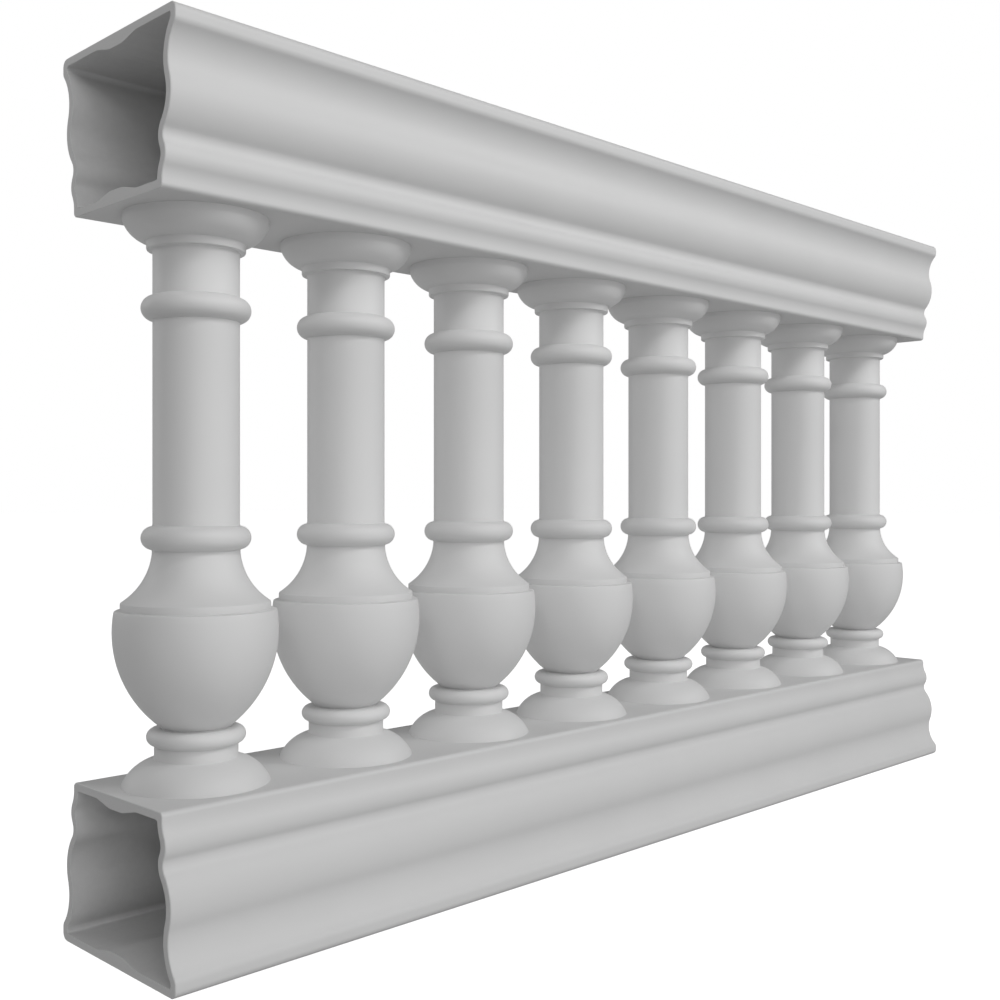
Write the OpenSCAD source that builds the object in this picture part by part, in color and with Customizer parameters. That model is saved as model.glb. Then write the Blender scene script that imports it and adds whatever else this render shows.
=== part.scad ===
// Fibreglass balustrade section: two hollow moulded rails, the same section turned over, with a
// row of hollow turned-profile balusters standing between them. Millimetres, Z up, length along X.
// The origin is on the floor, under the middle of the section.

/* [Section] */
// Height from the floor to the top of the top rail
total_h = 914.4; // [820:0.1:1100]
// Number of balusters between the two rail ends
baluster_count = 8; // [2:1:12]
// Distance between the axes of neighbouring balusters
spacing = 193.7; // [175:0.1:260]
// Distance from a rail's end to the axis of the nearest baluster
end_gap = 90; // [80:1:200]

/* [Rail] */
// Thickness of a rail's moulded wall
rail_wall = 8.3; // [5:0.1:10]
// Width across the two flat bands, the widest part of a rail
band_w = 223.8; // [212:0.2:236]
// Height of a flat band, with its rounded edge
band_h = 17.2; // [15:0.1:30]
// Radius of the rounded edge outside a band
band_edge_r = 8.5; // [2:0.5:14]
// Width across the rail at the deepest line of the cove
cove_w = 197.2; // [188:0.2:204]
// Radius of the cove
cove_r = 44; // [30:1:60]
// Width across the rail at the crest of the ovolo, its large round
ovolo_w = 207.6; // [202:0.2:216]
// Radius of the ovolo
ovolo_r = 48; // [30:1:60]
// Width across the rail at the bottom of the quirk, the groove beside the ovolo
quirk_w = 178.7; // [170:0.2:184]
// Radius of the quirk
quirk_r = 13; // [6:1:20]
// Width across the rail at the crest of the bead
bead_w = 188.3; // [182:0.2:196]
// Radius of the bead
bead_r = 20; // [12:1:30]
// Width across the rail's narrow side, where the balusters meet it
neck_w = 175.8; // [168:0.2:184]
// Radius of the hollow between the bead and the narrow side
neck_r = 27; // [15:1:40]
// Height of the plain band beside the narrow face
neck_band_h = 3.5; // [2:0.1:20]
// Radius of the rounded edge of the narrow face
neck_edge_r = 5; // [2:0.5:8]
// Width of the stiffening rib where it meets the wall
rib_base_w = 78; // [50:1:110]
// Width of the rib's flat crest
rib_crest_w = 25; // [10:1:45]
// Height of the rib above the wall it stiffens
rib_h = 5.8; // [2:0.1:12]

/* [Baluster] */
// Thickness of a baluster's moulded wall
baluster_wall = 6; // [4:0.5:9]
// Diameter of the shaft
shaft_d = 87.5; // [76:0.5:92]
// Radius of the two round rings on the shaft
ring_r = 12.2; // [8:0.1:16]
// How far these rings stand out from the shaft
ring_out = 11.7; // [6:0.1:14]
// Radius of the hollow crease beside a ring, under the cap's band and above the bell
crease_r = 1.3; // [1:0.1:4]
// Length of the shaft between the upper ring and the cap
collar_h = 45.4; // [20:0.1:80]
// Diameter of the foot where it stands on the rail
foot_d = 150; // [134:0.2:158]
// Height of the bell of the foot
bell_h = 26; // [20:0.1:36]
// Radius of the bell's curve
bell_r = 43.8; // [30:0.1:80]
// Diameter of the neck above the bell
foot_neck_d = 84.4; // [76:0.2:96]
// Height from the bell to the centre of the ring above the neck
foot_neck_h = 22.6; // [18:0.1:36]
// Radius of that ring
foot_ring_r = 8.2; // [5:0.1:11]
// How far that ring stands out from the neck
foot_ring_out = 7.9; // [4:0.1:10]
// Diameter at the bottom of the groove between that ring and the bowl
groove_d = 67.8; // [64:0.2:74]
// Diameter of the bowl at its widest
bowl_d = 167; // [156:0.2:174]
// Radius of the bowl's curve
bowl_r = 123; // [90:1:180]
// Height from the bowl's widest line up to its shoulder
bowl_top_h = 20; // [12:0.1:40]
// Radius of the bowl's rounded shoulder
shoulder_r = 2; // [1:0.1:5]
// How far the step under the vase stands in from the bowl at its widest
step_in = 7.9; // [4:0.1:12]
// Height of that step
step_h = 7.6; // [3:0.1:16]
// Height from the step to the centre of the lower ring
vase_h = 65.7; // [50:0.1:90]
// Diameter of the vase's neck, under the lower ring
vase_neck_d = 88.4; // [80:0.2:100]
// Radius of the vase's hollow curve
vase_r = 67; // [56:0.1:120]
// Diameter of the band under the cap
cap_band_d = 100; // [96:0.2:116]
// Height of that band, with its rounded lower edge
cap_band_h = 8.4; // [6:0.1:20]
// Radius of that lower edge
cap_band_edge_r = 2; // [1:0.5:4]
// Height of the cap above the band
cap_h = 27.2; // [20:0.1:45]
// Radius of the cap's round
cap_r = 31; // [24:0.1:60]
// Diameter of the cap at the rail
cap_d = 147; // [134:0.2:158]
// Height of the cap's upright rim
cap_rim_h = 6.2; // [3:0.1:10]

/* [Hidden] */

// How far the middle of a facet may lie from the true curve
sag = 0.06;
// How far one outline runs past another that trims it
trim = 1;
rail_l = (baluster_count - 1) * spacing + 2 * end_gap;

// Height between the extreme points of two curves that meet without a corner: r is the sum of
// their radii and d is how much further out the one is than the other. Turn is the angle of the
// meeting point, seen from either centre.
function rise(r, d) = sqrt(d * (2 * r - d));
function turn(r, d) = acos(1 - d / r);

// Points along a curve round a centre
function arc(centre, r, from, to) =
    let (steps = max(1, ceil(abs(to - from) / (2 * acos(1 - sag / r)))))
    [for (i = [0 : steps])
        let (a = from + (to - from) * i / steps)
        centre + r * [cos(a), sin(a)]];

// Points along a curve from p to q, with its centre on the left as one walks from p to q. It is
// never tighter than a half circle.
function bow_r(p, q, r) = max(r, norm(q - p) / 2);
function bow_centre(p, q, r) =
    let (chord = norm(q - p))
    (p + q) / 2
        + [p.y - q.y, q.x - p.x] / chord * sqrt(pow(bow_r(p, q, r), 2) - pow(chord / 2, 2));
function bow(p, q, r) =
    let (
        centre = bow_centre(p, q, r),
        from = atan2(p.y - centre.y, p.x - centre.x)
    )
    arc(centre, bow_r(p, q, r), from, from + 2 * asin(norm(q - p) / 2 / bow_r(p, q, r)));

// ---- Rail moulding: x is half the width, y is the depth below the wide face ----

band_out = (band_w - cove_w) / 2;
ovolo_out = (ovolo_w - cove_w) / 2;
quirk_in = (ovolo_w - quirk_w) / 2;
bead_out = (bead_w - quirk_w) / 2;
neck_in = (bead_w - neck_w) / 2;

cove_y = band_h + rise(cove_r, band_out);
ovolo_y = cove_y + rise(cove_r + ovolo_r, ovolo_out);
quirk_y = ovolo_y + rise(ovolo_r + quirk_r, quirk_in);
bead_y = quirk_y + rise(quirk_r + bead_r, bead_out);
neck_y = bead_y + rise(bead_r + neck_r, neck_in);
rail_h = neck_y + neck_band_h + neck_edge_r;

// The moulded curves of one side, moved in by t: hollows grow and rounds shrink round the same
// centres, so the wall between t = 0 and t = rail_wall is equally thick all along.
function moulding(t) =
    let (
        cove_to_ovolo = turn(cove_r + ovolo_r, ovolo_out),
        ovolo_to_quirk = turn(ovolo_r + quirk_r, quirk_in),
        quirk_to_bead = turn(quirk_r + bead_r, bead_out),
        bead_to_neck = turn(bead_r + neck_r, neck_in)
    )
    concat(
        arc([cove_w / 2 + cove_r, cove_y], cove_r + t,
            180 + turn(cove_r + t, band_out), 180 - cove_to_ovolo),
        arc([ovolo_w / 2 - ovolo_r, ovolo_y], ovolo_r - t, -cove_to_ovolo, ovolo_to_quirk),
        arc([quirk_w / 2 + quirk_r, quirk_y], quirk_r + t, 180 + ovolo_to_quirk, 180 - quirk_to_bead),
        arc([bead_w / 2 - bead_r, bead_y], bead_r - t, -quirk_to_bead, bead_to_neck),
        arc([neck_w / 2 + neck_r, neck_y], neck_r + t, 180 + bead_to_neck, 180)
    );

module both_sides(half) {
    last = len(half) - 1;
    polygon(concat(half, [for (i = [0 : last]) [-half[last - i].x, half[last - i].y]]));
}

module rail_outside() {
    both_sides(concat(
        arc([band_w / 2 - band_edge_r, band_edge_r], band_edge_r, -90, 0),
        moulding(0),
        arc([neck_w / 2 - neck_edge_r, rail_h - neck_edge_r], neck_edge_r, 0, 90)
    ));
}

// Trapezoid that thickens a flat wall along the rail's centre line, from the wall's outer face
module rib() {
    both_sides([
        [rib_base_w / 2, 0],
        [rib_base_w / 2, rail_wall],
        [rib_crest_w / 2, rail_wall + rib_h]
    ]);
}

module rail_hollow() {
    difference() {
        intersection() {
            both_sides(concat(
                [[band_w / 2 - rail_wall, -trim]],
                moulding(rail_wall),
                [[neck_w / 2 - rail_wall, rail_h + trim]]
            ));
            translate([-band_w / 2, rail_wall]) square([band_w, rail_h - 2 * rail_wall]);
        }
        rib();
        translate([0, rail_h]) mirror([0, 1]) rib();
    }
}

// A rail lying on its wide face
module rail() {
    translate([-rail_l / 2, 0, 0]) rotate([90, 0, 90])
        linear_extrude(height = rail_l) difference() {
            rail_outside();
            rail_hollow();
        }
}

module bottom_rail() {
    color("gainsboro") rail();
}

// The same moulding turned over
module top_rail() {
    color("gainsboro") translate([0, 0, total_h]) mirror([0, 0, 1]) rail();
}

// ---- Baluster: x is the radius, y is the height above the bottom rail ----

baluster_h = total_h - 2 * rail_h;
shaft_x = shaft_d / 2;
ring_x = shaft_x + ring_out - ring_r;
foot_neck_x = foot_neck_d / 2;
foot_ring_x = foot_neck_x + foot_ring_out - foot_ring_r;
foot_ring_y = bell_h + foot_neck_h;
groove_y = foot_ring_y + foot_ring_r;
bowl_y = groove_y + rise(bowl_r, (bowl_d - groove_d) / 2);
step_x = bowl_d / 2 - step_in;
step_y = bowl_y + bowl_top_h + shoulder_r;
vase_y = step_y + step_h;
lower_ring_y = vase_y + vase_h;
cap_y = baluster_h - cap_h;
cap_band_y = cap_y - cap_band_h;
upper_ring_y = cap_band_y - collar_h - crease_h(ring_x, shaft_x, ring_r);

// A ring is a round of radius r about [x, y]. Beside it, a crease leads to an upright wall at
// beside: crease_h is the height between the two centres, and lean is the angle at which the two
// curves meet.
function crease_h(x, beside, r) = sqrt(pow(r + crease_r, 2) - pow(beside + crease_r - x, 2));
function lean(x, beside, r) = atan2(crease_h(x, beside, r), beside + crease_r - x);
function crease_below(x, beside, y, r) =
    arc([beside + crease_r, y - crease_h(x, beside, r)], crease_r, 180, 180 - lean(x, beside, r));
function shaft_ring(beside, y) = concat(
    crease_below(ring_x, beside, y, ring_r),
    arc([ring_x, y], ring_r, -lean(ring_x, beside, ring_r), lean(ring_x, shaft_x, ring_r)),
    arc([shaft_x + crease_r, y + crease_h(ring_x, shaft_x, ring_r)], crease_r,
        180 + lean(ring_x, shaft_x, ring_r), 180)
);

// The bell's top runs into its neck through a crease
bell_centre = bow_centre([foot_d / 2, 0], [foot_neck_x, bell_h], bell_r);
bell_crease_x = foot_neck_x + crease_r;
bell_crease_y = bell_centre.y + sqrt(pow(bell_r + crease_r, 2) - pow(bell_crease_x - bell_centre.x, 2));
bell_lean = atan2(bell_crease_y - bell_centre.y, bell_crease_x - bell_centre.x);

// The bowl rises from the groove, over its widest line, to its shoulder
bowl_centre = [bowl_d / 2 - bowl_r, bowl_y];
bowl_up = asin(bowl_top_h / bowl_r);
bowl_top_x = bowl_centre.x + bowl_r * cos(bowl_up);

// The vase runs from the step up to the crease under the lower ring
vase_neck = [vase_neck_d / 2, lower_ring_y - crease_h(ring_x, vase_neck_d / 2, ring_r)];
vase_centre = bow_centre(vase_neck, [step_x, vase_y], vase_r);

cap_rim = [cap_d / 2, baluster_h - cap_rim_h];

baluster_outside = concat(
    arc(bell_centre, bell_r, atan2(-bell_centre.y, foot_d / 2 - bell_centre.x), bell_lean),
    arc([bell_crease_x, bell_crease_y], crease_r, 180 + bell_lean, 180),
    crease_below(foot_ring_x, foot_neck_x, foot_ring_y, foot_ring_r),
    arc([foot_ring_x, foot_ring_y], foot_ring_r, -lean(foot_ring_x, foot_neck_x, foot_ring_r), 90),
    arc(bowl_centre, bowl_r, -turn(bowl_r, (bowl_d - groove_d) / 2), bowl_up),
    bow([bowl_top_x, bowl_y + bowl_top_h], [bowl_top_x - shoulder_r, step_y], shoulder_r),
    [[step_x, step_y]],
    arc(vase_centre, norm(vase_neck - vase_centre),
        180 + atan2(vase_centre.y - vase_y, vase_centre.x - step_x),
        180 + atan2(vase_centre.y - vase_neck.y, vase_centre.x - vase_neck.x)),
    shaft_ring(vase_neck.x, lower_ring_y),
    shaft_ring(shaft_x, upper_ring_y),
    arc([shaft_x + crease_r, cap_band_y - crease_r], crease_r, 180, 90),
    arc([cap_band_d / 2 - cap_band_edge_r, cap_band_y + cap_band_edge_r], cap_band_edge_r, -90, 0),
    bow([cap_band_d / 2, cap_y], cap_rim, cap_r),
    [[cap_rim.x, baluster_h]]
);

// The hollow follows the bowl, the vase and the shaft, and leaves thick ends under the rails
bore_x = groove_d / 2 - baluster_wall;
shaft_bore_x = shaft_x - baluster_wall;
step_bore_x = step_x - baluster_wall;
bowl_hollow_r = bowl_r - baluster_wall;
vase_hollow_r = norm(vase_neck - vase_centre) + baluster_wall;

baluster_hollow = concat(
    [[0, 0], [bore_x, 0]],
    arc(bowl_centre, bowl_hollow_r, -acos((bore_x - bowl_centre.x) / bowl_hollow_r),
        asin((step_y - baluster_wall - bowl_y) / bowl_hollow_r)),
    [[step_bore_x, step_y - baluster_wall]],
    arc(vase_centre, vase_hollow_r, 180 + acos((vase_centre.x - step_bore_x) / vase_hollow_r),
        180 + asin(max(0, vase_centre.y - lower_ring_y) / vase_hollow_r)),
    [[shaft_bore_x, lower_ring_y], [shaft_bore_x, baluster_h], [0, baluster_h]]
);

module baluster(i) {
    color("whitesmoke")
        translate([-rail_l / 2 + end_gap + (i - 1) * spacing, 0, rail_h])
        rotate_extrude($fn = 96) difference() {
            polygon(concat([[0, 0]], baluster_outside, [[0, baluster_h]]));
            polygon(baluster_hollow);
        }
}

bottom_rail();
for (i = [1 : baluster_count])
    baluster(i);
top_rail();
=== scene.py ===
# %% [markdown]
# # A fibreglass balustrade section
# The real thing is sold by makers of moulded glass-fibre architecture. Two hollow rails come out of one
# mould, one of them is turned over, and a row of hollow balusters with a turned profile is bonded
# between them. Every surface is the same off-white gelcoat, so the looks rest on three things: true
# curves, soft light that reads them, and a skin that is matt without being dead.
#
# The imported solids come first. They fix every size, and all that is made here stays inside their box.

# %% Load the frame
import math

import bmesh
import bpy
import numpy as np
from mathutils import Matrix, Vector
from mathutils.geometry import tessellate_polygon


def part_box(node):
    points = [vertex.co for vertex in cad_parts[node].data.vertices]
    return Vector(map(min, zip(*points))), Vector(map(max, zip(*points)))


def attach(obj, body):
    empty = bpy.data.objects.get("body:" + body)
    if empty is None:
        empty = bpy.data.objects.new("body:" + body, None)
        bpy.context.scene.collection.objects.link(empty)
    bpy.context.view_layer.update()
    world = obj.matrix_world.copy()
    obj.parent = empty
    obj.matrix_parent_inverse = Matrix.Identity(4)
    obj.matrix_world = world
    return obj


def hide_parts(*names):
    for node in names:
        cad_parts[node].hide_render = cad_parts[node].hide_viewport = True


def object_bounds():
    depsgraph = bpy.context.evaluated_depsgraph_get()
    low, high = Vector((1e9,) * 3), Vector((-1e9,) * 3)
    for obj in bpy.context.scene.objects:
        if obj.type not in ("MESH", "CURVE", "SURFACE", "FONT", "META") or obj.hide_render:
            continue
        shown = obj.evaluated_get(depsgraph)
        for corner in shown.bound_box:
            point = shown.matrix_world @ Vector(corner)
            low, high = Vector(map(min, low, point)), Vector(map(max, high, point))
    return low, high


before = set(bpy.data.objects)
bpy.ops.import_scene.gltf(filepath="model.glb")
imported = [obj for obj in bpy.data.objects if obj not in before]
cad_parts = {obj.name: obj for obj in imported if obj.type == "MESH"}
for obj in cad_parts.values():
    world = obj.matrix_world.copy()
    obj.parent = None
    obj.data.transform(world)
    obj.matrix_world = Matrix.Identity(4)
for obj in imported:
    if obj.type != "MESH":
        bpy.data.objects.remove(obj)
cad_low, cad_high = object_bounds()
print("solids:", sorted(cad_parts))
print("box, mm:", [round(1000 * (b - a), 1) for a, b in zip(cad_low, cad_high)])

# %% [markdown]
# ## The camera
# A straight-on view shows the balusters and hides the moulding, and a view along the rail does the
# opposite. Here the camera stands on the left, half way up, and looks level along the diagonal. The
# rails and the cut ends run off to one side each, and all uprights stay upright.

# %% Place the camera
CAMERA_PLACE = (-1.34825, -1.1042, 0.4572)
CAMERA_HEADING = -45.0
CAMERA_LENS, SENSOR_WIDTH = 43.94, 36.0
CAMERA_SHIFT = 0.005

camera_data = bpy.data.cameras.new("camera")
camera_data.lens = CAMERA_LENS
camera_data.sensor_width = SENSOR_WIDTH
camera_data.shift_x = CAMERA_SHIFT
camera = bpy.data.objects.new("camera", camera_data)
camera.location = CAMERA_PLACE
camera.rotation_euler = (math.radians(90.0), 0.0, math.radians(CAMERA_HEADING))
bpy.context.scene.collection.objects.link(camera)
bpy.context.scene.camera = camera
print("camera height, mm:", round(1000 * CAMERA_PLACE[2], 1))

# %% [markdown]
# ## Curves made of arcs
# A mould maker draws a moulding as a chain of arcs that meet without a corner, and a wood turner does
# the same for a baluster. So the outlines here are lists of points along arcs, in millimetres. A
# Bezier curve could trace them too, but its handles say nothing about radii.

# %% Points along an arc
MM = 0.001
ARC_STEP = 3.0


def arc(centre, radius, start, end):
    """Points round a centre, from one angle to another, in degrees."""
    steps = max(1, math.ceil(abs(end - start) / ARC_STEP))
    angles = np.radians(np.linspace(start, end, steps + 1))
    return [(centre[0] + radius * math.cos(a), centre[1] + radius * math.sin(a)) for a in angles]


def bow_centre(p, q, radius):
    """Centre of an arc from p to q, on the left as one walks."""
    (px, py), (qx, qy) = p, q
    chord = math.dist(p, q)
    away = math.sqrt(radius**2 - (chord / 2) ** 2) / chord
    return (px + qx) / 2 + (py - qy) * away, (py + qy) / 2 + (qx - px) * away


def angle_of(point, centre):
    """Direction from the centre to the point, in degrees."""
    return math.degrees(math.atan2(point[1] - centre[1], point[0] - centre[0]))


def bow(p, q, radius):
    """Points along an arc from p to q, with its centre on the left as one walks."""
    centre = bow_centre(p, q, radius)
    start = angle_of(p, centre)
    return arc(centre, radius, start, start + math.degrees(2 * math.asin(math.dist(p, q) / 2 / radius)))


def rise(radii, out):
    """Height between the extreme points of two tangent curves, one standing further out."""
    return math.sqrt(out * (2 * radii - out))


def turn(radius, out):
    """Angle of the point where those two curves meet."""
    return math.degrees(math.acos(1 - out / radius))


print("a quarter round of 8.5 mm takes", len(arc((0, 0), 8.5, 0, 90)), "points")

# %% [markdown]
# ## Edges that a mould can give
# Gelcoat never leaves a mould with a razor edge, and it pools a little in every crease. Rather than
# round each corner by hand, the whole outline is walked in even steps and averaged over a millimetre or
# so, as a sanding block does. The long curves hardly notice. Then points that lie on a straight line
# are left out again, so that the mesh stays light.

# %% Ease the corners of an outline
STEP = 0.4
MOST_LEFT_OUT = 60


def even_walk(points):
    """The closed outline again, with points at even distances."""
    loop = np.array(points + points[:1], float)
    run = np.concatenate([[0.0], np.cumsum(np.hypot(*np.diff(loop, axis=0).T))])
    at = np.linspace(0.0, run[-1], int(run[-1] / STEP) + 1)[:-1]
    return np.column_stack([np.interp(at, run, loop[:, 0]), np.interp(at, run, loop[:, 1])])


def thin_out(points, slack):
    """Leave out points that a straight line passes within the slack."""
    kept, start, n = [0], 0, len(points)
    while start < n - 1:
        end = min(start + 2, n - 1)
        while end < min(n - 1, start + MOST_LEFT_OUT):
            a, b = points[start], points[end + 1]
            along = (b - a) / (np.linalg.norm(b - a) or 1.0)
            off = points[start + 1 : end + 1] - a
            if np.abs(off[:, 0] * along[1] - off[:, 1] * along[0]).max() > slack:
                break
            end += 1
        kept.append(end)
        start = end
    return points[kept[:-1] if kept[-1] == n - 1 else kept]


def eased(points, reach, slack=0.004):
    """A closed outline with its corners rounded over the reach, in millimetres."""
    even = even_walk(points)
    half = int(3 * reach / STEP) + 1
    weights = np.exp(-0.5 * (np.arange(-half, half + 1) * STEP / reach) ** 2)
    weights /= weights.sum()
    wrapped = np.vstack([even[-half:], even, even[:half]])
    smooth = np.column_stack([np.convolve(wrapped[:, k], weights, "valid") for k in (0, 1)])
    return thin_out(smooth, slack)


square = [(0.0, 0.0), (20.0, 0.0), (20.0, 20.0), (0.0, 20.0)]
print("a square with eased corners takes", len(eased(square, 1.0)), "points")

# %% [markdown]
# ## The rail's moulding
# From the wide flat face inwards: a band with a rounded edge, a cove, a large ovolo, a narrow quirk, a
# bead, and a plain neck. One list of points gives the outside, and the same list moved in by the
# laminate's thickness gives the inside, because a laid-up shell is equally thick all along. Where the
# band turns into the cove, the mould is eased so that the gelcoat runs over it: less than a millimetre
# off the corner, too little to see in the outline, but it makes the shade there soft and not a line.

# %% The outline of one side of the rail
WALL = 8.3
BAND_W, BAND_H, BAND_EDGE_R = 223.8, 17.2, 8.5
COVE_W, COVE_R = 197.2, 44.0
OVOLO_W, OVOLO_R = 207.6, 48.0
QUIRK_W, QUIRK_R = 178.7, 13.0
BEAD_W, BEAD_R = 188.3, 20.0
NECK_W, NECK_R, NECK_BAND_H, NECK_EDGE_R = 175.8, 27.0, 3.5, 5.0
RIB_BASE_W, RIB_CREST_W, RIB_H = 78.0, 25.0, 5.8
BAND_EASE_R = 9.0

cove_y = BAND_H + rise(COVE_R, (BAND_W - COVE_W) / 2)
band_ease_y = cove_y - rise(COVE_R + BAND_EASE_R, (BAND_W - COVE_W) / 2)
ovolo_y = cove_y + rise(COVE_R + OVOLO_R, (OVOLO_W - COVE_W) / 2)
quirk_y = ovolo_y + rise(OVOLO_R + QUIRK_R, (OVOLO_W - QUIRK_W) / 2)
bead_y = quirk_y + rise(QUIRK_R + BEAD_R, (BEAD_W - QUIRK_W) / 2)
neck_y = bead_y + rise(BEAD_R + NECK_R, (BEAD_W - NECK_W) / 2)
rail_h = neck_y + NECK_BAND_H + NECK_EDGE_R


def moulding(t, from_band):
    """The curves of one side, half width and depth below the wide face, moved in by t."""
    to_ovolo = turn(COVE_R + OVOLO_R, (OVOLO_W - COVE_W) / 2)
    to_quirk = turn(OVOLO_R + QUIRK_R, (OVOLO_W - QUIRK_W) / 2)
    to_bead = turn(QUIRK_R + BEAD_R, (BEAD_W - QUIRK_W) / 2)
    to_neck = turn(BEAD_R + NECK_R, (BEAD_W - NECK_W) / 2)
    return (
        arc((COVE_W / 2 + COVE_R, cove_y), COVE_R + t, 180 + from_band, 180 - to_ovolo)
        + arc((OVOLO_W / 2 - OVOLO_R, ovolo_y), OVOLO_R - t, -to_ovolo, to_quirk)
        + arc((QUIRK_W / 2 + QUIRK_R, quirk_y), QUIRK_R + t, 180 + to_quirk, 180 - to_bead)
        + arc((BEAD_W / 2 - BEAD_R, bead_y), BEAD_R - t, -to_bead, to_neck)
        + arc((NECK_W / 2 + NECK_R, neck_y), NECK_R + t, 180 + to_neck, 180)
    )


def both_sides(half):
    """One side of an outline joined to its mirror image."""
    return half + [(-x, y) for x, y in reversed(half)]


eased_turn = turn(COVE_R + BAND_EASE_R, (BAND_W - COVE_W) / 2)
rail_outside = both_sides(
    arc((BAND_W / 2 - BAND_EDGE_R, BAND_EDGE_R), BAND_EDGE_R, -90, 0)
    + arc((BAND_W / 2 - BAND_EASE_R, band_ease_y), BAND_EASE_R, 0, eased_turn)
    + moulding(0, eased_turn)
    + arc((NECK_W / 2 - NECK_EDGE_R, rail_h - NECK_EDGE_R), NECK_EDGE_R, 0, 90)
)

# %% [markdown]
# Inside, a flat rib runs along the middle of the wide wall and another along the narrow wall, where
# the fixings of the balusters pull. The hollow is cut off at the two walls and steps over both ribs.
# The corners in there are rounder than outside, because the last layers of glass bridge them.

# %% The outline of the hollow
SKIN_EASE, HOLLOW_EASE = 0.45, 2.0

inner_turn = turn(COVE_R + WALL, (BAND_W - COVE_W) / 2)
inner_curves = [p for p in moulding(WALL, inner_turn) if WALL < p[1] < rail_h - WALL]
rib_near = [(RIB_CREST_W / 2, WALL + RIB_H), (RIB_BASE_W / 2, WALL)]
rib_far = [(x, rail_h - y) for x, y in reversed(rib_near)]
rail_hollow = both_sides(
    rib_near
    + [(BAND_W / 2 - WALL, WALL)]
    + inner_curves
    + [(NECK_W / 2 - WALL, rail_h - WALL)]
    + rib_far
)
rail_skin = eased(rail_outside, SKIN_EASE)
rail_inside = eased(rail_hollow, HOLLOW_EASE)
print("points:", len(rail_skin), "outside,", len(rail_inside), "inside")

# %% [markdown]
# ## From places to a mesh object
# Blender takes a list of places and a list of faces. The faces are shaded smooth, apart from edges that
# bend by more than a set angle, and each face carries the number of its finish. All faces are then
# turned to look away from the material in the walls, or the light would fall on their backs.

# %% Mesh objects
SHARP_ANGLE = 38.0


def new_mesh(name, places, faces, finishes):
    """A smooth mesh object from millimetre places; every sharp bend keeps its edge."""
    mesh = bpy.data.meshes.new(name)
    mesh.from_pydata([Vector(p) * MM for p in places], [], faces)
    mesh.polygons.foreach_set("material_index", finishes)
    mesh.polygons.foreach_set("use_smooth", [True] * len(faces))
    mesh.set_sharp_from_angle(angle=math.radians(SHARP_ANGLE))
    mesh.validate()
    thing = bpy.data.objects.new(name, mesh)
    bpy.context.scene.collection.objects.link(thing)
    return thing


def turn_faces_out(thing):
    """Make every face look away from the material inside the walls."""
    mesh = bmesh.new()
    mesh.from_mesh(thing.data)
    bmesh.ops.recalc_face_normals(mesh, faces=mesh.faces)
    mesh.to_mesh(thing.data)
    mesh.free()


print("edges stay sharp from", SHARP_ANGLE, "degrees")

# %% [markdown]
# ## From outline to rail
# An extruded curve object would do, but it caps its ends with a knife edge. A shell that was cut with
# a saw and dressed with sandpaper has a small arris there, wider outside, where the hand reaches, than
# inside. So each ring of points is written out one by one: a slightly smaller one on the cut, the full
# one just behind.

# %% A slightly smaller ring
OUTER_ARRIS, INNER_ARRIS = 0.7, 0.25


def shifted(loop, by):
    """A closed outline moved to the left of its walking direction, in millimetres."""
    way = np.roll(loop, -1, axis=0) - np.roll(loop, 1, axis=0)
    way /= np.linalg.norm(way, axis=1)[:, None]
    return loop + by * np.column_stack([-way[:, 1], way[:, 0]])


def facing(loop):
    """+1 when the outline is walked anticlockwise, otherwise -1."""
    x, y = loop.T
    return 1.0 if np.sum(x * np.roll(y, -1) - y * np.roll(x, -1)) > 0 else -1.0


cut_skin = shifted(rail_skin, OUTER_ARRIS * facing(rail_skin))
print("rail width, mm:", round(np.ptp(rail_skin[:, 0]), 1), "on the cut:", round(np.ptp(cut_skin[:, 0]), 1))

# %% [markdown]
# Four rings make a tube: one on a cut, one just behind it, and the same two at the other end. A rail
# has two such tubes, its skin and its hollow. On each cut, triangles fill the wall between them.

# %% One hollow rail
SKIN, INSIDE, CUT = 0, 1, 2


def build_rail(name, low_x, high_x, place):
    """A hollow rail; place turns half width and depth into Y and Z, upright or turned over."""
    places, faces, finishes, caps = [], [], [], {low_x: [], high_x: []}
    for loop, arris, finish in ((rail_skin, OUTER_ARRIS, SKIN), (rail_inside, -INNER_ARRIS, INSIDE)):
        small = shifted(loop, arris * facing(loop))
        back = abs(arris)
        rings = ((low_x, small), (low_x + back, loop), (high_x - back, loop), (high_x, small))
        first, n = len(places), len(loop)
        for x, ring in rings:
            places += [(x, *place(w, d)) for w, d in ring]
        for k in range(3):
            a, b = first + k * n, first + (k + 1) * n
            faces += [(a + i, a + (i + 1) % n, b + (i + 1) % n, b + i) for i in range(n)]
            finishes += [finish] * n
        caps[low_x].append(range(first, first + n))
        caps[high_x].append(range(first + 3 * n, first + 4 * n))
    for loops in caps.values():
        order = [i for loop in loops for i in loop]
        flat = [[Vector((0.0, places[i][1], places[i][2])) for i in loop] for loop in loops]
        made = [tuple(order[i] for i in three) for three in tessellate_polygon(flat)]
        faces += made
        finishes += [CUT] * len(made)
    return new_mesh(name, places, faces, finishes)


print("finishes: skin", SKIN, "inside", INSIDE, "cut", CUT)

# %% [markdown]
# Both rails come out of the same mould. The bottom one lies on its wide face. The top one is turned
# over, so that the wide face is what a hand rests on.

# %% Two rails
half_l = 1000 * cad_high.x
total_h = 1000 * cad_high.z
bottom_rail = build_rail("rail_bottom", -half_l, half_l, lambda w, d: (w, d))
top_rail = build_rail("rail_top", -half_l, half_l, lambda w, d: (w, total_h - d))
for rail, node in ((bottom_rail, "bottom_rail"), (top_rail, "top_rail")):
    turn_faces_out(rail)
    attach(rail, "root")
    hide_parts(node)
    print(rail.name, "faces:", len(rail.data.polygons))

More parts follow.
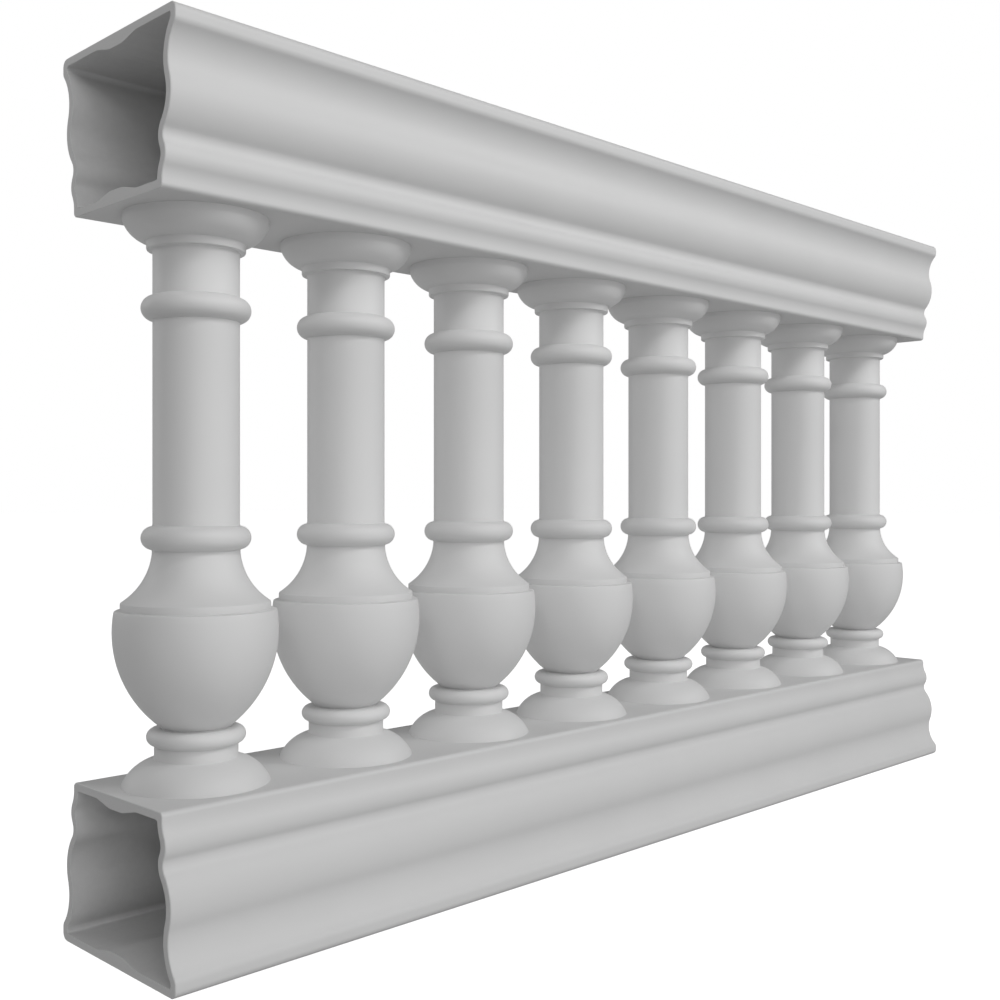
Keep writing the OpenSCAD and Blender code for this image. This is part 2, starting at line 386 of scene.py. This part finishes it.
# %% [markdown]
# ## The baluster's profile
# From the foot up: a low bell, a neck, a small ring, a deep groove, the bowl with its shoulder, a
# step, the hollow curve of the vase, a ring, the long shaft, a second ring, a collar, and the cap,
# which swells out under the rail. D stands for a diameter, R for a radius and H for a height, and OUT
# tells how far a ring stands out from what it sits on.

# %% The baluster's sizes
BALUSTER_WALL = 6.0
SHAFT_D, RING_R, RING_OUT, CREASE_R, COLLAR_H = 87.5, 12.2, 11.7, 1.3, 45.4
FOOT_D, BELL_H, BELL_R = 150.0, 26.0, 43.8
FOOT_NECK_D, FOOT_NECK_H, FOOT_RING_R, FOOT_RING_OUT = 84.4, 22.6, 8.2, 7.9
GROOVE_D, BOWL_D, BOWL_R, BOWL_TOP_H, SHOULDER_R = 67.8, 167.0, 123.0, 20.0, 2.0
STEP_IN, STEP_H = 7.9, 7.6
VASE_H, VASE_NECK_D, VASE_R = 65.7, 88.4, 67.0
CAP_BAND_D, CAP_BAND_H, CAP_BAND_EDGE_R = 100.0, 8.4, 2.0
CAP_H, CAP_R, CAP_D, CAP_RIM_H = 27.2, 31.0, 147.0, 6.2
print("foot, bowl, shaft and cap, mm:", FOOT_D, BOWL_D, SHAFT_D, CAP_D)

# %% [markdown]
# A ring meets the wall beside it in a crease, a small arc that the turning tool leaves. These helpers
# find the point where both arcs touch, and give the points of a ring with its creases. Points are
# written radius first, then height.

# %% Rings and creases
shaft_x = SHAFT_D / 2
ring_x = shaft_x + RING_OUT - RING_R


def crease_h(x, beside, radius):
    """Height from a ring's centre, out at x, to the centre of the crease that leads beside it."""
    return math.sqrt((radius + CREASE_R) ** 2 - (beside + CREASE_R - x) ** 2)


def lean(x, beside, radius):
    """Angle of the point where the ring meets that crease."""
    return math.degrees(math.atan2(crease_h(x, beside, radius), beside + CREASE_R - x))


def crease_below(x, beside, y, radius):
    """The crease under a ring, from the wall beside it up to the ring."""
    centre = (beside + CREASE_R, y - crease_h(x, beside, radius))
    return arc(centre, CREASE_R, 180, 180 - lean(x, beside, radius))


def shaft_ring(beside, y):
    """One of the two large rings, with the creases below and above it."""
    up = lean(ring_x, shaft_x, RING_R)
    top = (shaft_x + CREASE_R, y + crease_h(ring_x, shaft_x, RING_R))
    return (
        crease_below(ring_x, beside, y, RING_R)
        + arc((ring_x, y), RING_R, -lean(ring_x, beside, RING_R), up)
        + arc(top, CREASE_R, 180 + up, 180)
    )


print("a shaft ring takes", len(shaft_ring(shaft_x, 0.0)), "points")

# %% [markdown]
# The heights start at the bottom rail. The lower forms stand on one another, the upper ones hang from
# the cap, and the shaft fills what is left between them.

# %% Heights
baluster_h = total_h - 2 * rail_h
neck_x = FOOT_NECK_D / 2
foot_ring_x = neck_x + FOOT_RING_OUT - FOOT_RING_R
foot_ring_y = BELL_H + FOOT_NECK_H
groove_y = foot_ring_y + FOOT_RING_R
bowl_y = groove_y + rise(BOWL_R, (BOWL_D - GROOVE_D) / 2)
step_x = BOWL_D / 2 - STEP_IN
step_y = bowl_y + BOWL_TOP_H + SHOULDER_R
vase_y = step_y + STEP_H
lower_ring_y = vase_y + VASE_H
vase_top_y = lower_ring_y - crease_h(ring_x, VASE_NECK_D / 2, RING_R)
cap_y = baluster_h - CAP_H
cap_band_y = cap_y - CAP_BAND_H
upper_ring_y = cap_band_y - COLLAR_H - crease_h(ring_x, shaft_x, RING_R)

bowl_centre = (BOWL_D / 2 - BOWL_R, bowl_y)
bowl_up = math.degrees(math.asin(BOWL_TOP_H / BOWL_R))
bowl_top_x = bowl_centre[0] + BOWL_R * math.cos(math.radians(bowl_up))
print("shaft between its rings, mm:", round(upper_ring_y - lower_ring_y, 1))

# %% [markdown]
# One place needs a tangent worked out: the bell's top turns up into its neck through a crease.
# Everything else is arcs, one after the other. The foot and the cap must keep a sharp rim where they
# are bonded to the rails, or a dark groove would show there. So the outline runs on a little past both
# rails' faces, and after its corners are eased it is cut off at the faces.

# %% The foot, then the whole outline
OVERRUN = 3.0

foot_rim = (FOOT_D / 2, 0.0)
bell_centre = bow_centre(foot_rim, (neck_x, BELL_H), BELL_R)
crease_x = neck_x + CREASE_R
crease_y = bell_centre[1] + math.sqrt((BELL_R + CREASE_R) ** 2 - (crease_x - bell_centre[0]) ** 2)
bell_lean = angle_of((crease_x, crease_y), bell_centre)
band_edge = (CAP_BAND_D / 2 - CAP_BAND_EDGE_R, cap_band_y + CAP_BAND_EDGE_R)

baluster_outside = (
    [(FOOT_D / 2, -OVERRUN)]
    + arc(bell_centre, BELL_R, angle_of(foot_rim, bell_centre), bell_lean)
    + arc((crease_x, crease_y), CREASE_R, 180 + bell_lean, 180)
    + crease_below(foot_ring_x, neck_x, foot_ring_y, FOOT_RING_R)
    + arc((foot_ring_x, foot_ring_y), FOOT_RING_R, -lean(foot_ring_x, neck_x, FOOT_RING_R), 90)
    + arc(bowl_centre, BOWL_R, -turn(BOWL_R, (BOWL_D - GROOVE_D) / 2), bowl_up)
    + bow((bowl_top_x, bowl_y + BOWL_TOP_H), (bowl_top_x - SHOULDER_R, step_y), SHOULDER_R)
    + [(step_x, step_y)]
    + bow((VASE_NECK_D / 2, vase_top_y), (step_x, vase_y), VASE_R)[::-1]
    + shaft_ring(VASE_NECK_D / 2, lower_ring_y)
    + shaft_ring(shaft_x, upper_ring_y)
    + arc((shaft_x + CREASE_R, cap_band_y - CREASE_R), CREASE_R, 180, 90)
    + arc(band_edge, CAP_BAND_EDGE_R, -90, 0)
    + bow((CAP_BAND_D / 2, cap_y), (CAP_D / 2, baluster_h - CAP_RIM_H), CAP_R)
    + [(CAP_D / 2, baluster_h + OVERRUN)]
)
print("baluster height, mm:", round(baluster_h, 1), "points:", len(baluster_outside))

# %% [markdown]
# A baluster is hollow from foot to cap. The bore follows the bowl, the vase and the shaft at a wall's
# distance, and stays narrow in the foot. No eye gets there, but it gives the part its true weight.

# %% The baluster's bore
bore_x = GROOVE_D / 2 - BALUSTER_WALL
shaft_bore_x = shaft_x - BALUSTER_WALL
step_bore = (step_x - BALUSTER_WALL, step_y - BALUSTER_WALL)
bowl_bore_r = BOWL_R - BALUSTER_WALL
bowl_from = -math.degrees(math.acos((bore_x - bowl_centre[0]) / bowl_bore_r))
bowl_to = math.degrees(math.asin((step_bore[1] - bowl_y) / bowl_bore_r))
vase_centre = bow_centre((VASE_NECK_D / 2, vase_top_y), (step_x, vase_y), VASE_R)
vase_bore_r = VASE_R + BALUSTER_WALL
vase_from = 180 + math.degrees(math.acos((vase_centre[0] - step_bore[0]) / vase_bore_r))
baluster_bore = (
    [(bore_x, -OVERRUN)]
    + arc(bowl_centre, bowl_bore_r, bowl_from, bowl_to)
    + [step_bore]
    + arc(vase_centre, vase_bore_r, vase_from, 180)
    + [(shaft_bore_x, lower_ring_y), (shaft_bore_x, baluster_h + OVERRUN)]
)
print("bore from radius", round(bore_x, 1), "to", round(step_bore[0], 1), "mm")

# %% [markdown]
# ## From profile to balusters
# A Screw modifier turns a profile too. Writing the rings out keeps the seam closed and the count of
# faces plain to see. The wall's two sides are one closed outline, walked up outside and down inside.

# %% The closed profile
BALUSTER_EASE, BALUSTER_SLACK = 0.5, 0.012
SAME_POINT = 0.01

long_loop = eased(baluster_outside + baluster_bore[::-1], BALUSTER_EASE)
cut_loop = np.column_stack([long_loop[:, 0], np.clip(long_loop[:, 1], 0.0, baluster_h)])
gaps = np.linalg.norm(cut_loop - np.roll(cut_loop, 1, axis=0), axis=1)
baluster_loop = thin_out(cut_loop[gaps > SAME_POINT], BALUSTER_SLACK)
print("profile points:", len(baluster_loop))

# %% [markdown]
# The balusters of the frame are taken in the order of their numbers. Each turned one stands on the axis
# of its solid and takes its place.

# %% Turn the balusters
SEGMENTS = 128


def build_baluster(name, axis_x):
    """The profile turned once round an upright axis."""
    n = len(baluster_loop)
    angles = np.arange(SEGMENTS) * 2 * math.pi / SEGMENTS
    places = [
        (axis_x + r * math.cos(a), r * math.sin(a), rail_h + z) for a in angles for r, z in baluster_loop
    ]
    faces = []
    for k in range(SEGMENTS):
        a, b = k * n, (k + 1) % SEGMENTS * n
        faces += [(a + i, b + i, b + (i + 1) % n, a + (i + 1) % n) for i in range(n)]
    return new_mesh(name, places, faces, [SKIN] * len(faces))


baluster_nodes = sorted(
    (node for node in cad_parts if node.startswith("baluster_")),
    key=lambda node: int(node.split("_")[1]),
)
balusters = []
for node in baluster_nodes:
    low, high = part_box(node)
    axis_x = 1000 * (low.x + high.x) / 2
    baluster = build_baluster(node.replace("baluster", "turned_baluster"), axis_x)
    turn_faces_out(baluster)
    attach(baluster, "root")
    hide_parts(node)
    balusters.append(baluster)
print("balusters:", len(balusters), "faces each:", len(balusters[0].data.polygons))

# %% [markdown]
# ## Colours and nodes
# Colours are written as they look on a screen and turned to linear light once. One helper adds a node,
# sets it and links it, so a material reads from top to bottom.

# %% Helpers for materials


def linear(hex_colour):
    """An sRGB hex colour as linear red, green, blue and alpha."""
    parts = [int(hex_colour[i : i + 2], 16) / 255 for i in (1, 3, 5)]
    return (*[c / 12.92 if c <= 0.04045 else ((c + 0.055) / 1.055) ** 2.4 for c in parts], 1.0)


def add(tree, kind, inputs=None, **settings):
    """A new node with its settings; an input takes a value or another node's socket."""
    made = tree.nodes.new(kind)
    for name, value in settings.items():
        setattr(made, name, value)
    for socket, value in (inputs or {}).items():
        if isinstance(value, bpy.types.NodeSocket):
            tree.links.new(value, made.inputs[socket])
        else:
            made.inputs[socket].default_value = value
    return made


def start_material(name):
    """An empty material and its node tree."""
    material = bpy.data.materials.new(name)
    material.use_nodes = True
    material.node_tree.nodes.clear()
    return material, material.node_tree


print("white in linear light:", linear("#ffffff"))

# %% [markdown]
# The mouldings are polyester all through, so their materials end alike: a bump, a Principled surface
# with polyester's IOR, and the output. Their noise runs in the object's own coordinates. A metre is a
# metre there, so a lump on a rail is as large as one on a baluster.

# %% Noise, tones and polyester
POLYESTER_IOR = 1.54


def noise(tree, scale, detail, distortion=0.0):
    """Noise in the object's own coordinates; the scale is in lumps to a metre."""
    place = add(tree, "ShaderNodeTexCoord").outputs["Object"]
    inputs = {"Vector": place, "Scale": scale, "Detail": detail, "Distortion": distortion}
    return add(tree, "ShaderNodeTexNoise", inputs).outputs["Fac"]


def two_tones(tree, factor, dark, light):
    """A colour between two hex colours."""
    inputs = {"Factor": factor, 6: linear(dark), 7: linear(light)}
    return add(tree, "ShaderNodeMix", inputs, data_type="RGBA").outputs[2]


def polyester(tree, colour, roughness, height, strength, distance):
    """The last three nodes of a moulding's material: bump, surface and output."""
    bump = add(tree, "ShaderNodeBump", {"Height": height, "Strength": strength, "Distance": distance})
    looks = {"Base Color": colour, "Roughness": roughness, "IOR": POLYESTER_IOR}
    skin = add(tree, "ShaderNodeBsdfPrincipled", looks | {"Normal": bump.outputs["Normal"]})
    add(tree, "ShaderNodeOutputMaterial", {"Surface": skin.outputs["BSDF"]})


print("polyester IOR:", POLYESTER_IOR)

# %% [markdown]
# ## Gelcoat
# The outside of a glass-fibre moulding is gelcoat: a pigmented polyester layer that is sprayed into
# the mould before the glass. Out of a sanded mould it is matt, with a faint orange peel of two or
# three millimetres and the slightest cloud where the spray lay thicker. A flat colour with one
# roughness looks like clay, so both vary a little.

# %% Matt gelcoat


def matt_gelcoat(name, dark, light):
    """Sprayed gelcoat between two tones, with its orange peel."""
    material, tree = start_material(name)
    cloud = noise(tree, scale=9.0, detail=4.0)
    peel = noise(tree, scale=330.0, detail=2.0)
    sheen = add(tree, "ShaderNodeMapRange", {"Value": cloud, "To Min": 0.50, "To Max": 0.62})
    colour = two_tones(tree, cloud, dark, light)
    polyester(tree, colour, sheen.outputs["Result"], peel, strength=0.35, distance=0.00006)
    return material


# Rails and balusters share one gelcoat. The balusters' tones are set lighter, which is painted light on
# them.
rail_gelcoat = matt_gelcoat("matt_gelcoat_rail", "#cbcbcb", "#d1d1d1")
baluster_gelcoat_painted_lighter = matt_gelcoat("matt_gelcoat_baluster", "#d3d3d3", "#d9d9d9")
for baluster in balusters:
    baluster.data.materials.append(baluster_gelcoat_painted_lighter)
print("gelcoat:", rail_gelcoat.name, baluster_gelcoat_painted_lighter.name)

# %% [markdown]
# ## Laminate inside the rails
# The hollow side never touched the mould. It shows the last layer of chopped-strand mat, rolled down
# and painted over: a soft crossed texture with lumps of a few millimetres. Where the saw went through,
# the end was sanded and has a fine grit. Its tones are set a little darker than the gelcoat's: painted
# shade on the cut ends.

# %% Rolled laminate and the sanded cut


def rolled_laminate(name):
    """Painted chopped-strand mat, as the roller left it."""
    material, tree = start_material(name)
    lumps = noise(tree, scale=120.0, detail=5.0)
    strands = noise(tree, scale=420.0, detail=2.0, distortion=1.5)
    both = add(tree, "ShaderNodeMath", {0: lumps, 1: strands}, operation="ADD")
    colour = two_tones(tree, lumps, "#cccccc", "#d6d6d6")
    polyester(tree, colour, roughness=0.7, height=both.outputs["Value"], strength=0.5, distance=0.0002)
    return material


def sanded_and_shaded_cut(name):
    """The sawn and sanded end of the laminate, in darker tones that paint shade on the cut."""
    material, tree = start_material(name)
    grit = noise(tree, scale=900.0, detail=3.0)
    # Darker tones than the gelcoat: painted shade on the cut ends, over a real sanded grit.
    colour = two_tones(tree, grit, "#c4c4c4", "#d0d0d0")
    polyester(tree, colour, roughness=0.75, height=grit, strength=0.4, distance=0.0001)
    return material


laminate = rolled_laminate("rolled_laminate")
cut_edge = sanded_and_shaded_cut("sanded_cut_edge")
for rail in (bottom_rail, top_rail):
    for material in (rail_gelcoat, laminate, cut_edge):
        rail.data.materials.append(material)
print("rail finishes:", [m.name for m in bottom_rail.data.materials])

# %% [markdown]
# ## Floor
# Catalogue pictures of such mouldings are taken on a lit white table. Here the table is there for the
# eye only: its own light stays off the undersides, and it lies a hair lower than the section.

# %% A lit white table
HALF_TABLE = 40.0
TABLE_DROP = 0.0002
TABLE_GLOW = 0.82

corners = [(x, y, 0.0) for x, y in ((-1, -1), (1, -1), (1, 1), (-1, 1))]
floor_mesh = bpy.data.meshes.new("floor")
floor_mesh.from_pydata([HALF_TABLE * Vector(corner) for corner in corners], [], [(0, 1, 2, 3)])
floor = bpy.data.objects.new("floor", floor_mesh)
floor.location.z = -TABLE_DROP
floor.visible_diffuse = False
floor.visible_glossy = False
floor.visible_shadow = False
bpy.context.scene.collection.objects.link(floor)
material, tree = start_material("lit_white_acrylic")
acrylic = add(
    tree,
    "ShaderNodeBsdfPrincipled",
    {
        "Base Color": linear("#f2f2f2"),
        "Roughness": 0.9,
        "Emission Color": linear("#ffffff"),
        "Emission Strength": TABLE_GLOW,
    },
)
add(tree, "ShaderNodeOutputMaterial", {"Surface": acrylic.outputs["BSDF"]})
floor_mesh.materials.append(material)
print("table, m:", 2 * HALF_TABLE)

# %% [markdown]
# ## Light tent
# A long white part wants light from both long sides, more from the front, some from slanting below and
# above, and next to none from its two ends, so that the cut ends fall back. The tent glows accordingly,
# in soft steps along the axes of the direction one looks in. Its light from below and above fades again
# towards straight down and up, which keeps the flat undersides darker than the rounds.

# %% The tent's glow
FRONT, BACK, BELOW, ABOVE = 0.485, 0.329, 0.278, 0.099

world = bpy.data.worlds.new("light_tent")
bpy.context.scene.world = world
world.use_nodes = True
tent = world.node_tree
tent.nodes.clear()
way = add(tent, "ShaderNodeTexCoord")
axes = add(tent, "ShaderNodeSeparateXYZ", {"Vector": way.outputs["Generated"]})


def glow_towards(axis, start, end, strength):
    """A glow that rises from nothing to the strength between two values along an axis."""
    step = add(
        tent,
        "ShaderNodeMapRange",
        {"Value": axes.outputs[axis], "From Min": start, "From Max": end, "To Max": strength},
        interpolation_type="SMOOTHSTEP",
    )
    return step.outputs["Result"]


total = glow_towards("Y", -0.2, -0.9, FRONT)
for part in (
    glow_towards("Y", 0.2, 0.9, BACK),
    glow_towards("Z", 0.1, -0.3, BELOW),
    glow_towards("Z", -0.7, -1.0, -BELOW),
    glow_towards("Z", -0.1, 0.3, ABOVE),
    glow_towards("Z", 0.7, 1.0, -ABOVE),
):
    total = add(tent, "ShaderNodeMath", {0: total, 1: part}, operation="ADD").outputs["Value"]
print("glow from front, back, below and above:", FRONT, BACK, BELOW, ABOVE)

# %% [markdown]
# Seen directly, such a tent would show its steps as grey clouds. A Light Path node tells the camera's
# rays from all others, so the eye gets plain white and the section gets the glow.

# %% White for the camera
glow = add(tent, "ShaderNodeBackground", {"Color": (1, 1, 1, 1), "Strength": total})
white = add(tent, "ShaderNodeBackground", {"Color": (1, 1, 1, 1), "Strength": 1.0})
seen = add(tent, "ShaderNodeLightPath")
mixed = add(
    tent,
    "ShaderNodeMixShader",
    {0: seen.outputs["Is Camera Ray"], 1: glow.outputs["Background"], 2: white.outputs["Background"]},
)
add(tent, "ShaderNodeOutputWorld", {"Surface": mixed.outputs["Shader"]})
print("tent nodes:", len(tent.nodes))

# %% [markdown]
# Five panels stand inside the tent. The wide one in front on the left gives the rounds their slow turn
# from light to half tone, and the wide one behind lifts their left rims. The three small ones are nearer
# to points of light, so they give the caps' shadows an edge, which runs slanting over the collars.

# %% Panels
PANEL_AIM = Vector((0.0, 0.0, 0.45))
PANEL_AWAY = 5.0
WIDE, SMALL = 2.2, 0.7


def soft_panel(name, azimuth, elevation, watts, size):
    """A square area lamp that faces the middle of the section; azimuth 0 is straight in front."""
    around, up = math.radians(azimuth), math.radians(elevation)
    out = Vector((math.sin(around) * math.cos(up), -math.cos(around) * math.cos(up), math.sin(up)))
    data = bpy.data.lights.new(name, "AREA")
    data.shape = "SQUARE"
    data.size = size
    data.energy = watts
    lamp = bpy.data.objects.new(name, data)
    lamp.location = PANEL_AIM + PANEL_AWAY * out
    lamp.rotation_mode = "QUATERNION"
    lamp.rotation_quaternion = out.to_track_quat("Z", "Y")
    bpy.context.scene.collection.objects.link(lamp)
    return lamp


panels = [
    soft_panel("wide_panel", -30.0, 35.0, 36.6, WIDE),
    soft_panel("back_panel", -150.0, 15.0, 28.8, WIDE),
    soft_panel("far_left_panel", -60.0, 30.0, 14.7, SMALL),
    soft_panel("front_panel", 0.0, 46.0, 33.6, SMALL),
    soft_panel("right_panel", 40.0, 30.0, 52.5, SMALL),
]
bpy.context.scene.view_settings.view_transform = "Standard"
print("panels, W:", [round(panel.data.energy, 1) for panel in panels])
